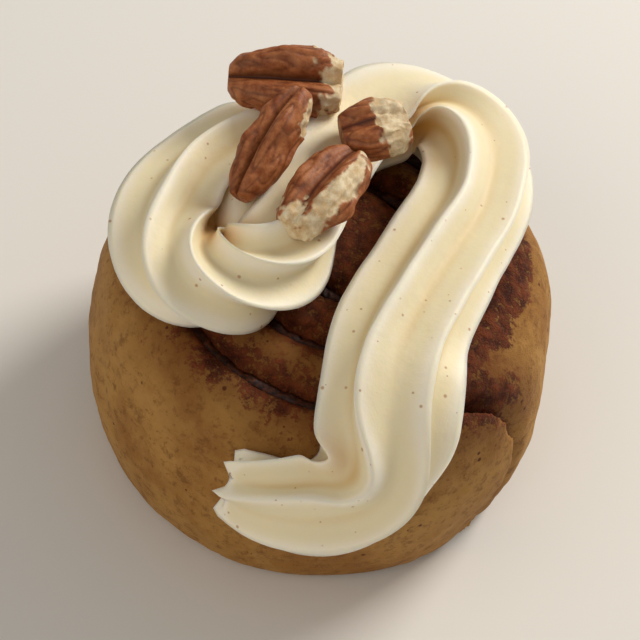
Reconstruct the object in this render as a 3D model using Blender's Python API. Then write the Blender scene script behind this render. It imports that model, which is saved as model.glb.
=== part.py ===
"""A cinnamon roll with piped frosting and pecans, at its real size.

One strip of dough is wound into a swirl, with a layer of cinnamon filling between its turns. A fluted
rope of frosting is piped over the top in an S and runs down over the front, and four pieces of pecan
are pressed into it. The origin is on the table under the middle of the roll, +Z is up and the front of
the roll is at -Y. Sizes are in millimetres and become metres where a mesh is made.
"""
import math

import bmesh
import bpy
import numpy as np

MM = 0.001

# The baked roll's skin, from the middle of the top down to the table
TOP_HEIGHT = 40.0
DOME_RADIUS = 24.0
DOME_DROP = 1.4
SHOULDER_RADIUS = 11.0
SHOULDER_END = math.radians(75)
WIDEST_RADIUS = 35.0
WIDEST_HEIGHT = 18.0
FOOT_RADIUS = 33.0
FOOT_ROUNDING = 3.0
ROLL_SIDES = 60

# The roll grows wider along the last turn, up to the seam where the strip ends
NARROW_RADIUS = 34.8
SEAM_RADIUS = 36.2
SEAM_ANGLE = 325.0

# The swirl between the turns of the strip
TURN_PITCH = 9.5
SWIRL_FRONT_RADIUS = 27.9
SWIRL_OFFSET = 1.5
SWIRL_OFFSET_ANGLE = 20.0
SWIRL_START = -598.0
SWIRL_TURNOFF = 300.0
SWIRL_EXIT = 345.0
TURNOFF_SPREAD = 7.0
TURNOFF_SPAN = 38.0
SWIRL_STEP = 9.0
SLOT_HALF_WIDTH = 0.8
LIP_RADIUS = 3.0
LIP_LEFT_AT_SEAM = 0.15
LIP_FADE = 24.0
LIP_STEPS = 3
LIP_LOWEST = 31.0
SLOT_OVERSHOOT = 2.0

# The cinnamon filling stands in the slot, clear of the dough all round
FILLING_HALF_WIDTH = 0.5
FILLING_BELOW_SKIN = 2.2
FILLING_ABOVE_TABLE = 0.4
FILLING_START = SWIRL_START + 6.0
FILLING_END = 312.0

# The piped rope's middle line, on the skin laid out flat: place, x, y, half width, height above its
# middle, the angle of its leading crest seen along the rope, from its right side over its top, and how
# far the second crest is squeezed towards the leading one
ROPE_ROUTE = (
    ("start", -10.4, 15.6, 7.6, 6.9, 204, 0),
    ("left top", -16.2, 10.2, 8.0, 6.6, 198, 0),
    ("left arm", -21.0, 3.2, 8.6, 6.5, 194, 0),
    ("bend left", -23.2, -5.8, 9.3, 6.8, 202, 0),
    ("bend bottom", -16.6, -14.4, 9.3, 7.0, 124, 0),
    ("bend right", -8.4, -10.6, 8.4, 7.0, 50, 0),
    ("diagonal low", -5.6, -1.0, 7.6, 7.2, 20, 0),
    ("diagonal high", -3.4, 10.0, 7.6, 7.4, 8, -24),
    ("arch left", 0.4, 19.0, 8.2, 7.4, 20, -42),
    ("arch top", 6.2, 23.2, 9.0, 7.4, 38, -46),
    ("arch back", 11.0, 23.0, 9.2, 7.4, 50, -22),
    ("arch corner", 15.6, 19.8, 9.5, 7.2, 64, 6),
    ("arch right", 18.8, 12.6, 9.4, 7.0, 74, 4),
    ("ribbon high", 18.0, 4.6, 9.5, 7.0, 82, 0),
    ("ribbon middle", 13.2, -9.0, 9.8, 6.8, 78, 0),
    ("ribbon low", 10.7, -19.0, 10.3, 6.6, 70, 0),
    ("shoulder", 10.2, -28.6, 10.8, 6.2, 58, 0),
    ("turn", 9.6, -33.6, 11.0, 6.0, 82, -12),
    ("wall", 7.0, -37.4, 10.8, 5.8, 66, 0),
    ("tail", 0.6, -40.2, 10.0, 5.6, 52, 4),
    ("tip", -9.6, -39.2, 6.2, 4.2, 80, 0),
)
ROPE_STEP = 2.2
FLUTES = 6
POINTS_PER_FLUTE = 4
FLUTE_DEPTH = 0.27
MIDDLE_LIFT = 0.8
BEND_LIMIT = 0.96
START_ROUNDING = 7.0
TIP_RAGGEDNESS = 1.6
ROPE_TILT_START = 20.0
ROPE_TILT_END = 44.0
ROPE_CLEARANCE = 0.4

# Inside the bend the two strands of the rope run together
JOIN_MIDDLE = (-14.0, -0.5, 43.6)
JOIN_RADII = (4.2, 8.5, 4.6)
JOIN_ROWS = 7
JOIN_SIDES = 14

# Each pecan piece: length, width, thickness, depth of its groove, the share of its length where it is
# broken off at its near and far end, its two ends, and how far it is rolled about its length
PECANS = {
    "pecan_1": (18.5, 11.8, 8.0, 0.7, 0.02, 0.87, (-18.8, 16.7, 52.4), (-2.2, 18.1, 53.4), 24),
    "pecan_2": (18.6, 8.4, 7.4, 0.6, 0.03, 0.97, (-9.2, 10.1, 56.8), (-14.2, -2.9, 51.2), 24),
    "pecan_3": (12.0, 9.5, 8.0, 0.2, 0.14, 0.88, (-2.0, 8.7, 52.4), (7.0, 12.2, 54.0), 10),
    "pecan_4": (17.5, 10.0, 8.0, 0.3, 0.08, 0.94, (0.8, 5.1, 53.0), (-6.6, -9.9, 51.6), 14),
}
PECAN_RINGS = 11
PECAN_SIDES = 16
PECAN_BLUNTNESS = 0.4
PECAN_FLAT = 0.36
PECAN_END_SLOPE = 0.6
PECAN_CLEARANCE = 0.35


def clear_scene():
    """Start from an empty scene."""
    for item in list(bpy.data.objects):
        bpy.data.objects.remove(item, do_unlink=True)


def finish(name, colour, roughness):
    """A Principled material in the piece's own colour."""
    material = bpy.data.materials.new(name)
    material.use_nodes = True
    shader = material.node_tree.nodes["Principled BSDF"]
    shader.inputs["Base Color"].default_value = (*colour, 1)
    shader.inputs["Roughness"].default_value = roughness
    return material


def loft(name, rings, material=None, smooth_angle=50):
    """A closed body through rings of points in millimetres, with a cap at either end."""
    mesh = bpy.data.meshes.new(name)
    form = bmesh.new()
    rows = [[form.verts.new(np.array(point) * MM) for point in ring] for ring in rings]
    for row, following in zip(rows, rows[1:]):
        for side in range(len(row)):
            beside = (side + 1) % len(row)
            form.faces.new((row[side], row[beside], following[beside], following[side]))
    caps = [form.faces.new(rows[0]), form.faces.new(rows[-1])]
    bmesh.ops.triangulate(form, faces=caps)
    bmesh.ops.recalc_face_normals(form, faces=form.faces)
    form.to_mesh(mesh)
    form.free()
    mesh.shade_smooth()
    mesh.set_sharp_from_angle(angle=math.radians(smooth_angle))
    if material:
        mesh.materials.append(material)
    body = bpy.data.objects.new(name, mesh)
    bpy.context.scene.collection.objects.link(body)
    return body


def combine(body, helper, operation="DIFFERENCE"):
    """Cut the helper's space out of the body, or join the two with UNION."""
    helper.hide_render = True
    helper.display_type = "WIRE"
    modifier = body.modifiers.new(helper.name, "BOOLEAN")
    modifier.operation = operation
    modifier.solver = "EXACT"
    modifier.object = helper
    modifier.use_self = operation == "UNION"


def spline(knots, values, places):
    """A natural cubic spline through the values at the knots, read at the places."""
    gaps = np.diff(knots)
    slopes = np.diff(values, axis=0) / gaps[:, None]
    system = np.eye(len(knots))
    bends = np.zeros_like(values)
    for i in range(1, len(knots) - 1):
        system[i, i - 1:i + 2] = gaps[i - 1], 2 * (gaps[i - 1] + gaps[i]), gaps[i]
        bends[i] = 6 * (slopes[i] - slopes[i - 1])
    bends = np.linalg.solve(system, bends)
    span = np.clip(np.searchsorted(knots, places) - 1, 0, len(gaps) - 1)
    gap = gaps[span][:, None]
    ahead = (knots[span + 1] - places)[:, None]
    behind = (places - knots[span])[:, None]
    bent = (bends[span] * ahead ** 3 + bends[span + 1] * behind ** 3) / (6 * gap)
    straight = (values[span] / gap - bends[span] * gap / 6) * ahead
    return bent + straight + (values[span + 1] / gap - bends[span + 1] * gap / 6) * behind


def skin_profile(top=4, shoulder=5, wall=5, foot=3):
    """Radius and height down the skin, from near the middle of the top to the flat base."""
    lean = math.atan(2 * DOME_DROP / DOME_RADIUS)
    edge = TOP_HEIGHT - DOME_DROP
    points = []
    for radius in np.linspace(0, DOME_RADIUS, top + 1)[1:]:
        points.append((radius, TOP_HEIGHT - DOME_DROP * (radius / DOME_RADIUS) ** 2))
    for angle in np.linspace(lean, SHOULDER_END, shoulder + 1)[1:]:
        out = SHOULDER_RADIUS * (math.sin(angle) - math.sin(lean))
        down = SHOULDER_RADIUS * (math.cos(lean) - math.cos(angle))
        points.append((DOME_RADIUS + out, edge - down))
    wall_radius, wall_top = points[-1]
    for height in np.linspace(wall_top, FOOT_ROUNDING, wall + 1)[1:]:
        if height > WIDEST_HEIGHT:
            share = (height - WIDEST_HEIGHT) / (wall_top - WIDEST_HEIGHT)
            points.append((WIDEST_RADIUS - (WIDEST_RADIUS - wall_radius) * share ** 2, height))
        else:
            share = (WIDEST_HEIGHT - height) / (WIDEST_HEIGHT - FOOT_ROUNDING)
            points.append((WIDEST_RADIUS - (WIDEST_RADIUS - FOOT_RADIUS) * share ** 2, height))
    for angle in np.linspace(0, math.pi / 2, foot + 1)[1:]:
        inwards = FOOT_ROUNDING * (1 - math.cos(angle))
        points.append((FOOT_RADIUS - inwards, FOOT_ROUNDING * (1 - math.sin(angle))))
    return np.array(points)


def outline(angle):
    """How wide the roll is in a direction (radians), as a share of its widest radius."""
    turn = np.degrees(angle) % 360
    share = np.where(turn < SEAM_ANGLE, turn / SEAM_ANGLE, (360 - turn) / (360 - SEAM_ANGLE))
    share = share * share * (3 - 2 * share)
    return (NARROW_RADIUS + (SEAM_RADIUS - NARROW_RADIUS) * share) / WIDEST_RADIUS


FINE_SKIN = skin_profile(60, 50, 50, 16)
FINE_ALONG = np.gradient(FINE_SKIN, axis=0)
FINE_OUTWARD = np.stack([-FINE_ALONG[:, 1], FINE_ALONG[:, 0]], axis=1)
FINE_OUTWARD /= np.linalg.norm(FINE_OUTWARD, axis=1)[:, None]
FINE_LENGTH = np.cumsum(np.hypot(*np.diff(FINE_SKIN, axis=0, prepend=[[0, TOP_HEIGHT]]).T))


def skin_height(radius, angle):
    """Height of the top of the roll at a radius in a direction, out to the widest place."""
    above = FINE_SKIN[:, 1] > WIDEST_HEIGHT
    return np.interp(radius / outline(angle), FINE_SKIN[above, 0], FINE_SKIN[above, 1])


def clear_of_skin(points, gap):
    """Move the points that lie inside the skin, or closer to it than the gap, straight outwards."""
    angle = np.arctan2(points[:, 1], points[:, 0])
    width = outline(angle)
    radius = np.hypot(points[:, 0], points[:, 1]) / width
    height = points[:, 2]
    away = np.hypot(radius[:, None] - FINE_SKIN[:, 0], height[:, None] - FINE_SKIN[:, 1])
    nearest = away.argmin(axis=1)
    outward = FINE_OUTWARD[nearest]
    clear = (radius - FINE_SKIN[nearest, 0]) * outward[:, 0] + (height - FINE_SKIN[nearest, 1]) * outward[:, 1]
    push = np.maximum(gap - clear, 0)
    radius = (radius + push * outward[:, 0]) * width
    height = height + push * outward[:, 1]
    return np.stack([radius * np.cos(angle), radius * np.sin(angle), height], axis=1)


def swirl_radius(turn):
    """Distance of the swirl from the roll's middle at an angle (degrees) that runs on over the turns."""
    radius = SWIRL_FRONT_RADIUS + TURN_PITCH * (turn - 270) / 360
    radius += SWIRL_OFFSET * math.cos(math.radians(turn - SWIRL_OFFSET_ANGLE))
    past = max(turn - SWIRL_TURNOFF, 0) / TURNOFF_SPAN
    return radius + TURNOFF_SPREAD * past ** 2


def swirl_rings(start, end, section):
    """Rings across the swirl. The section gives offsets and heights for a skin height and a turn."""
    rings = []
    for turn in np.linspace(start, end, round((end - start) / SWIRL_STEP) + 1):
        angle = math.radians(turn)
        radius = swirl_radius(turn)
        skin = max(float(skin_height(radius, angle)), LIP_LOWEST)
        ring = []
        for offset, height in section(skin, turn):
            ring.append(((radius + offset) * math.cos(angle), (radius + offset) * math.sin(angle), height))
        rings.append(ring)
    return rings


def slot_section(skin, turn):
    """The space between two turns: a narrow slot that opens upwards between two rounded lips."""
    fade = min(max((turn - SWIRL_TURNOFF) / LIP_FADE, 0), 1)
    lip = LIP_RADIUS * (1 - (1 - LIP_LEFT_AT_SEAM) * fade)
    side = [(SLOT_HALF_WIDTH, -SLOT_OVERSHOOT)]
    for angle in np.linspace(0, math.pi / 2, LIP_STEPS + 1):
        out = SLOT_HALF_WIDTH + lip * (1 - math.cos(angle))
        side.append((out, skin - lip * (1 - math.sin(angle))))
    side.append((side[-1][0], skin + SLOT_OVERSHOOT))
    return side + [(-out, height) for out, height in reversed(side)]


def filling_section(skin, turn):
    """The filling's upright layer, the same all along the swirl."""
    top = skin - FILLING_BELOW_SKIN
    half = FILLING_HALF_WIDTH
    low = FILLING_ABOVE_TABLE
    return [(half, low), (half, top), (-half, top), (-half, low)]


def make_dough():
    """The wound strip: the round roll, less the slot between its turns."""
    around = np.linspace(0, 2 * math.pi, ROLL_SIDES, endpoint=False)
    rings = []
    for radius, height in skin_profile():
        wide = radius * outline(around)
        rings.append(np.stack([wide * np.cos(around), wide * np.sin(around), np.full_like(wide, height)], 1))
    dough = loft("dough", rings, finish("baked dough", (0.46, 0.25, 0.085), 0.6))
    slot = loft("slot_cutter", swirl_rings(SWIRL_START, SWIRL_EXIT, slot_section))
    combine(dough, slot)


def make_filling():
    """The layer of cinnamon and sugar between the turns."""
    rings = swirl_rings(FILLING_START, FILLING_END, filling_section)
    return loft("cinnamon_filling", rings, finish("cinnamon filling", (0.075, 0.022, 0.008), 0.45))


def rope_places():
    """Middle, forward and outward directions, sizes, crest angles and bend at each step of the rope."""
    rows = np.array([row[1:] for row in ROPE_ROUTE], dtype=float)
    knots = np.concatenate([[0], np.cumsum(np.hypot(*np.diff(rows[:, :2], axis=0).T))])
    along = np.linspace(0, knots[-1], round(knots[-1] / ROPE_STEP) + 1)
    x, y, half_width, rise, crest, squeeze = spline(knots, rows, along).T
    distance = np.hypot(x, y)
    angle = np.arctan2(y, x)
    share = np.clip((distance - ROPE_TILT_START) / (ROPE_TILT_END - ROPE_TILT_START), 0, 1)
    tilt = share * share * (3 - 2 * share) * math.pi / 2
    outward = np.stack([np.sin(tilt) * np.cos(angle), np.sin(tilt) * np.sin(angle), np.cos(tilt)], 1)
    radius = np.interp(distance, FINE_LENGTH, FINE_SKIN[:, 0]) * outline(angle)
    height = np.interp(distance, FINE_LENGTH, FINE_SKIN[:, 1])
    middle = np.stack([radius * np.cos(angle), radius * np.sin(angle), height], 1)
    middle += outward * (rise * MIDDLE_LIFT)[:, None]
    forward = np.gradient(middle, axis=0)
    forward /= np.linalg.norm(forward, axis=1)[:, None]
    heading = np.unwrap(np.arctan2(np.gradient(y), np.gradient(x)))
    bend = -np.gradient(heading) / np.gradient(along)
    return along, middle, forward, outward, half_width, rise, np.radians(crest), np.radians(squeeze), bend


def make_frosting():
    """The rope: a six-fluted section swept along its route, resting on the roll's skin."""
    along, middle, forward, outward, half_width, rise, crest, squeeze, bend = rope_places()
    step = 2 * math.pi / (FLUTES * POINTS_PER_FLUTE)
    around = np.arange(FLUTES * POINTS_PER_FLUTE) * step
    flute = np.abs(np.sin(around * FLUTES / 2))
    second = np.maximum(1 - np.abs(around * FLUTES / (2 * math.pi) - 1), 0)
    rings = []
    for i in range(len(along)):
        inset = max(1 - along[i] / START_ROUNDING, 0)
        size = (1 - FLUTE_DEPTH * flute) * math.sqrt(1 - 0.97 * inset ** 2)
        angle = around + crest[i] + squeeze[i] * second
        across = half_width[i] * size * np.cos(angle)
        tight = np.maximum(across * bend[i], 0) / BEND_LIMIT
        across = across / (1 + tight ** 6) ** (1 / 6)
        up = rise[i] * size * np.sin(angle)
        right = np.cross(forward[i], outward[i])
        right /= np.linalg.norm(right)
        upward = np.cross(right, forward[i])
        points = middle[i] + across[:, None] * right + up[:, None] * upward
        if i == len(along) - 1:
            points += forward[i] * (TIP_RAGGEDNESS * (1 - 2 * flute))[:, None]
        rings.append(clear_of_skin(points, ROPE_CLEARANCE))
    frosting = loft("frosting", rings, finish("frosting", (0.83, 0.72, 0.53), 0.38), 28)
    combine(frosting, loft("join_helper", join_rings()), "UNION")
    return frosting


def join_rings():
    """Rings up a rounded lump between the two strands."""
    around = np.linspace(0, 2 * math.pi, JOIN_SIDES, endpoint=False)
    rings = []
    for tilt in np.linspace(-0.47, 0.47, JOIN_ROWS) * math.pi:
        x = JOIN_MIDDLE[0] + JOIN_RADII[0] * math.cos(tilt) * np.cos(around)
        y = JOIN_MIDDLE[1] + JOIN_RADII[1] * math.cos(tilt) * np.sin(around)
        z = np.full_like(x, JOIN_MIDDLE[2] + JOIN_RADII[2] * math.sin(tilt))
        rings.append(clear_of_skin(np.stack([x, y, z], 1), ROPE_CLEARANCE))
    return rings


def pecan_rings(length, width, thickness, groove, near_break, far_break, grow=0.0):
    """Rings along a pecan half that lies along X: two lobes with a groove between them, broken ends."""
    around = np.linspace(0, 2 * math.pi, PECAN_SIDES, endpoint=False)
    side, up = np.cos(around), np.sin(around)
    off = np.abs(side)
    lobes = np.sqrt(np.maximum(1 - (2 * off - 1) ** 2, 0))
    lobes = np.where(off < 0.5, np.maximum(lobes, 1 - groove), lobes)
    section = np.where(up > 0, lobes, up)
    rings = []
    for share in np.linspace(0.015, 0.985, PECAN_RINGS):
        place = min(max(share, near_break), far_break)
        bulge = math.sin(math.pi * share) ** PECAN_BLUNTNESS
        across = (width / 2 * bulge + grow) * side
        rise = thickness / 2 * bulge * section + grow * np.sign(section)
        rise = np.maximum(rise, -PECAN_FLAT * thickness - grow)
        reach = (place - 0.5) * length + (2 * share - 1) * (PECAN_END_SLOPE + grow)
        rings.append(np.stack([np.full_like(side, reach), across, rise], 1))
    return rings


def place_pecan(rings, near, far, roll):
    """Turn and move the rings so that they run from the near to the far end."""
    near, far = np.array(near), np.array(far)
    forward = (far - near) / np.linalg.norm(far - near)
    left = np.cross([0, 0, 1], forward)
    left /= np.linalg.norm(left)
    upward = np.cross(forward, left)
    turn = math.radians(roll)
    turned_left = left * math.cos(turn) + upward * math.sin(turn)
    turned_up = upward * math.cos(turn) - left * math.sin(turn)
    frame = np.stack([forward, turned_left, turned_up])
    return [ring @ frame + (near + far) / 2 for ring in rings]


def make_pecans(frosting):
    """The pecan pieces, each in a dent of its own in the frosting."""
    skin = finish("pecan", (0.20, 0.065, 0.022), 0.5)
    for name, (length, width, thickness, groove, near_break, far_break, near, far, roll) in PECANS.items():
        sizes = (length, width, thickness, groove, near_break, far_break)
        loft(name, place_pecan(pecan_rings(*sizes), near, far, roll), skin, 28)
        dent = place_pecan(pecan_rings(*sizes, grow=PECAN_CLEARANCE), near, far, roll)
        combine(frosting, loft(name + "_cutter", dent))


def main():
    clear_scene()
    make_dough()
    make_filling()
    make_pecans(make_frosting())


main()
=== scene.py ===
# %% [markdown]
# # A cinnamon roll with piped frosting and pecans
#
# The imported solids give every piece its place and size. This lesson builds the looks around them: baked
# dough with its cinnamon layer, a fluted rope of frosting, and broken pecans. All shapes are worked out in
# millimetres and become metres where a mesh is made. Noise is always seeded, so each run is the same.

import math

import bpy
import numpy as np
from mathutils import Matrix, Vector, noise
from mathutils.kdtree import KDTree


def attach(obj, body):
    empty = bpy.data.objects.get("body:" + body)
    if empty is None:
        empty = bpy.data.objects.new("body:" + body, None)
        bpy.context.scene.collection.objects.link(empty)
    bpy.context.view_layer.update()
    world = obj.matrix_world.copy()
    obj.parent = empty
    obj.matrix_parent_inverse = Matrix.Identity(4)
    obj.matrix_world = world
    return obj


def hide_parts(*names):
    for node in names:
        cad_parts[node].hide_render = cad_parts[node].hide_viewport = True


MM = 0.001
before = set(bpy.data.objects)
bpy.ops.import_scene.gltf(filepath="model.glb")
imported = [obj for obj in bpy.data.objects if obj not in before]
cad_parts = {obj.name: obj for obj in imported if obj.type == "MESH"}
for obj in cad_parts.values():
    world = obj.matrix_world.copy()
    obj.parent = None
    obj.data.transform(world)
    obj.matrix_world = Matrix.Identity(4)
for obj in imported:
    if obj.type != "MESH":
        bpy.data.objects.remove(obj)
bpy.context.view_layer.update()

# %% [markdown]
# ## Small helpers
#
# A mesh is easiest to shape as one array of points, so two helpers read and write it that way. Food has no
# straight edges. The dough gets a new skin of even squares from the voxel remesher. The frosting would lose
# its thin crests in squares, so its strands are joined by a Boolean union, which keeps their own faces and
# clears away those inside. A skin is then relaxed, which means that each point moves towards the middle of
# its neighbours, and roughened with smooth noise.

# %% Read and write the points of a mesh


def points_of(mesh):
    """The mesh's points in millimetres."""
    points = np.empty(len(mesh.vertices) * 3, np.float32)
    mesh.vertices.foreach_get("co", points)
    return points.reshape(-1, 3).astype(float) / MM


def move_points(mesh, points):
    """Put the mesh's points at these places, in millimetres."""
    mesh.vertices.foreach_set("co", (points * MM).astype(np.float32).ravel())
    mesh.update()


def normals_of(mesh):
    """The direction in which each point of the mesh faces."""
    normals = np.empty(len(mesh.vertices) * 3, np.float32)
    mesh.vertex_normals.foreach_get("vector", normals)
    return normals.reshape(-1, 3).astype(float)


def write_mask(mesh, name, values):
    """Keep one number for each point, which a material can read by this name."""
    mask = mesh.attributes.new(name, "FLOAT", "POINT")
    mask.data.foreach_set("value", np.clip(values, 0, 1).astype(np.float32))


# %% Build, re-skin and relax a mesh


def loft(rings):
    """Points and faces of a closed body through rings of points, with a fan as a cap at either end."""
    rings = np.array(rings)
    rows, sides = rings.shape[:2]
    points = np.concatenate([rings.reshape(-1, 3), [rings[0].mean(axis=0), rings[-1].mean(axis=0)]])
    side = np.arange(sides)
    beside = (side + 1) % sides
    faces = []
    for row in range(rows - 1):
        start = row * sides
        quads = np.stack([start + side, start + beside, start + sides + beside, start + sides + side], 1)
        faces += quads.tolist()
    last = (rows - 1) * sides
    near_cap = np.stack([np.full(sides, rows * sides), beside, side], 1)
    far_cap = np.stack([np.full(sides, rows * sides + 1), last + side, last + beside], 1)
    return points, faces + near_cap.tolist() + far_cap.tolist()


def make_piece(name, points, faces):
    """One object made of these points, in millimetres, and faces."""
    mesh = bpy.data.meshes.new(name)
    mesh.from_pydata((points * MM).tolist(), [], faces)
    mesh.validate()
    piece = bpy.data.objects.new(name, mesh)
    bpy.context.scene.collection.objects.link(piece)
    return piece


def keep_result(piece):
    """Give the piece the mesh that its modifiers make, and take the modifiers away."""
    graph = bpy.context.evaluated_depsgraph_get()
    skin = bpy.data.meshes.new_from_object(piece.evaluated_get(graph))
    piece.modifiers.clear()
    piece.data = skin
    skin.shade_smooth()


def remesh(piece, voxel):
    """Give the piece one new skin of even squares with sides of this many millimetres."""
    modifier = piece.modifiers.new("remesh", "REMESH")
    modifier.mode = "VOXEL"
    modifier.voxel_size = voxel * MM
    keep_result(piece)


def melt_together(piece, helper):
    """Join the helper to the piece, and clear away every face that lies inside the whole."""
    modifier = piece.modifiers.new("melt", "BOOLEAN")
    modifier.operation = "UNION"
    modifier.solver = "EXACT"
    modifier.use_self = True
    modifier.object = helper
    keep_result(piece)
    bpy.data.objects.remove(helper, do_unlink=True)


def relaxed(mesh, values, rounds):
    """Values at the mesh's points, each averaged with its neighbours this many times."""
    ends = np.empty(len(mesh.edges) * 2, np.int32)
    mesh.edges.foreach_get("vertices", ends)
    one, other = ends.reshape(-1, 2).T
    count = np.bincount(ends, minlength=len(values))
    for _ in range(rounds):
        columns = []
        for column in values.T:
            total = np.bincount(one, column[other], len(values))
            total += np.bincount(other, column[one], len(values))
            columns.append(0.5 * column + 0.5 * total / count)
        values = np.stack(columns, 1)
    return values


def wobble(points, size, seed):
    """Smooth random values from about -1 to 1 at the points, in lumps of about this many millimetres."""
    shift = np.array([17.3, 5.1, 9.7]) * seed
    return np.array([noise.noise(Vector(place)) for place in points / size + shift])


def nearest_values(places, values, points):
    """For each point, the value that belongs to the nearest of the places."""
    tree = KDTree(len(places))
    for number, place in enumerate(places):
        tree.insert(place, number)
    tree.balance()
    return np.array([values[tree.find(point)[1]] for point in points])


def smooth_step(values, start, end):
    """0 before the start, 1 after the end, and an easy slope between them."""
    share = np.clip((values - start) / (end - start), 0, 1)
    return share * share * (3 - 2 * share)


print("helpers ready")

# %% [markdown]
# ## Helpers for materials
#
# Colours are picked as sRGB hex values, as in any paint program, but the renderer adds light in linear
# values, so one function turns them. Another function adds a node, sets its own settings, and fills its
# inputs with plain values or with links from other nodes. Pattern sizes are given in millimetres.

# %% Colours and nodes


def colour(code):
    """An sRGB hex colour as linear red, green, blue and alpha."""
    channels = [int(code[i:i + 2], 16) / 255 for i in (1, 3, 5)]
    return (*[c / 12.92 if c <= 0.04045 else ((c + 0.055) / 1.055) ** 2.4 for c in channels], 1.0)


def add_node(tree, kind, settings, inputs):
    """Add a node. Settings are its own properties; inputs are values, or outputs to link from."""
    node = tree.nodes.new(kind)
    for name, value in settings.items():
        setattr(node, name, value)
    for name, value in inputs.items():
        if isinstance(value, bpy.types.NodeSocket):
            tree.links.new(value, node.inputs[name])
        else:
            node.inputs[name].default_value = value
    return node


def start_material(name):
    """A new material: its node tree, its Principled shader, and the place on the object in metres."""
    material = bpy.data.materials.new(name)
    material.use_nodes = True
    tree = material.node_tree
    shader = tree.nodes["Principled BSDF"]
    place = add_node(tree, "ShaderNodeTexCoord", {}, {}).outputs["Object"]
    return material, tree, shader, place


def per_metre(size):
    """The scale of a texture whose cells are this many millimetres wide."""
    return 1 / (size * MM)


# The Mix node has sockets of every type, so its colour inputs and result are found by number
COLOUR_MIX = {"data_type": "RGBA"}
FACTOR, FIRST, SECOND, RESULT = 0, 6, 7, 2
SOFT_EDGE = {"interpolation_type": "SMOOTHSTEP"}
print("white is", colour("#ffffff"))

# %% [markdown]
# ## The skin of the roll
#
# Everything lies on the baked roll, so its form comes first: a nearly flat top, a rounded shoulder, a wall
# that leans in a little above and below its widest place, and a flat base. These few sizes are the ones
# that the solids were built from. The profile is also kept as a fine line, which tells how high the skin
# is at a radius, and whether a point of the frosting would sink into it.

# %% The roll's profile
TOP_HEIGHT = 40.0
DOME_RADIUS = 24.0
DOME_DROP = 1.4
SHOULDER_RADIUS = 11.0
SHOULDER_END = math.radians(75)
WIDEST_RADIUS = 35.0
WIDEST_HEIGHT = 18.0
FOOT_RADIUS = 33.0
FOOT_ROUNDING = 3.0
NARROW_RADIUS = 34.8
SEAM_RADIUS = 36.2
SEAM_ANGLE = 325.0


def skin_profile(top, shoulder, wall, foot):
    """Radius and height down the skin, from near the middle of the top to the flat base."""
    lean = math.atan(2 * DOME_DROP / DOME_RADIUS)
    edge = TOP_HEIGHT - DOME_DROP
    points = []
    for radius in np.linspace(0, DOME_RADIUS, top + 1)[1:]:
        points.append((radius, TOP_HEIGHT - DOME_DROP * (radius / DOME_RADIUS) ** 2))
    for angle in np.linspace(lean, SHOULDER_END, shoulder + 1)[1:]:
        out = SHOULDER_RADIUS * (math.sin(angle) - math.sin(lean))
        down = SHOULDER_RADIUS * (math.cos(lean) - math.cos(angle))
        points.append((DOME_RADIUS + out, edge - down))
    wall_radius, wall_top = points[-1]
    for height in np.linspace(wall_top, FOOT_ROUNDING, wall + 1)[1:]:
        if height > WIDEST_HEIGHT:
            share = (height - WIDEST_HEIGHT) / (wall_top - WIDEST_HEIGHT)
            points.append((WIDEST_RADIUS - (WIDEST_RADIUS - wall_radius) * share ** 2, height))
        else:
            share = (WIDEST_HEIGHT - height) / (WIDEST_HEIGHT - FOOT_ROUNDING)
            points.append((WIDEST_RADIUS - (WIDEST_RADIUS - FOOT_RADIUS) * share ** 2, height))
    for angle in np.linspace(0, math.pi / 2, foot + 1)[1:]:
        inwards = FOOT_ROUNDING * (1 - math.cos(angle))
        points.append((FOOT_RADIUS - inwards, FOOT_ROUNDING * (1 - math.sin(angle))))
    return np.array(points)


def outline(angle):
    """How wide the roll is in a direction (radians), as a share of its widest radius."""
    turn = np.degrees(angle) % 360
    share = np.where(turn < SEAM_ANGLE, turn / SEAM_ANGLE, (360 - turn) / (360 - SEAM_ANGLE))
    share = share * share * (3 - 2 * share)
    return (NARROW_RADIUS + (SEAM_RADIUS - NARROW_RADIUS) * share) / WIDEST_RADIUS


SKIN = skin_profile(60, 50, 50, 16)
SKIN_ALONG = np.gradient(SKIN, axis=0)
SKIN_OUTWARD = np.stack([-SKIN_ALONG[:, 1], SKIN_ALONG[:, 0]], axis=1)
SKIN_OUTWARD /= np.linalg.norm(SKIN_OUTWARD, axis=1)[:, None]
SKIN_LENGTH = np.cumsum(np.hypot(*np.diff(SKIN, axis=0, prepend=[[0, TOP_HEIGHT]]).T))
print("skin from the middle to the base, in mm:", round(SKIN_LENGTH[-1], 1))

# %% Read the profile
POINTS_AT_ONCE = 4000   # keeps the table of distances small


def skin_height(radius, angle):
    """Height of the top of the roll at a radius in a direction, out to the widest place."""
    above = SKIN[:, 1] > WIDEST_HEIGHT
    return np.interp(radius / outline(angle), SKIN[above, 0], SKIN[above, 1])


def height_off_skin(points):
    """How far each point is outside the skin, the skin's direction, and the point's angle and radius."""
    angle = np.arctan2(points[:, 1], points[:, 0])
    radius = np.hypot(points[:, 0], points[:, 1]) / outline(angle)
    clear = np.empty(len(points))
    outward = np.empty((len(points), 2))
    for part in np.array_split(np.arange(len(points)), max(len(points) // POINTS_AT_ONCE, 1)):
        away = np.hypot(radius[part, None] - SKIN[:, 0], points[part, 2, None] - SKIN[:, 1])
        nearest = away.argmin(axis=1)
        outward[part] = SKIN_OUTWARD[nearest]
        across = (radius[part] - SKIN[nearest, 0]) * outward[part, 0]
        clear[part] = across + (points[part, 2] - SKIN[nearest, 1]) * outward[part, 1]
    return clear, outward, angle, radius


def lift_off_skin(points, gap):
    """Move the points that are closer to the skin than the gap straight outwards."""
    clear, outward, angle, radius = height_off_skin(points)
    push = np.maximum(gap - clear, 0)
    radius = (radius + push * outward[:, 0]) * outline(angle)
    height = points[:, 2] + push * outward[:, 1]
    return np.stack([radius * np.cos(angle), radius * np.sin(angle), height], axis=1)


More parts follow.
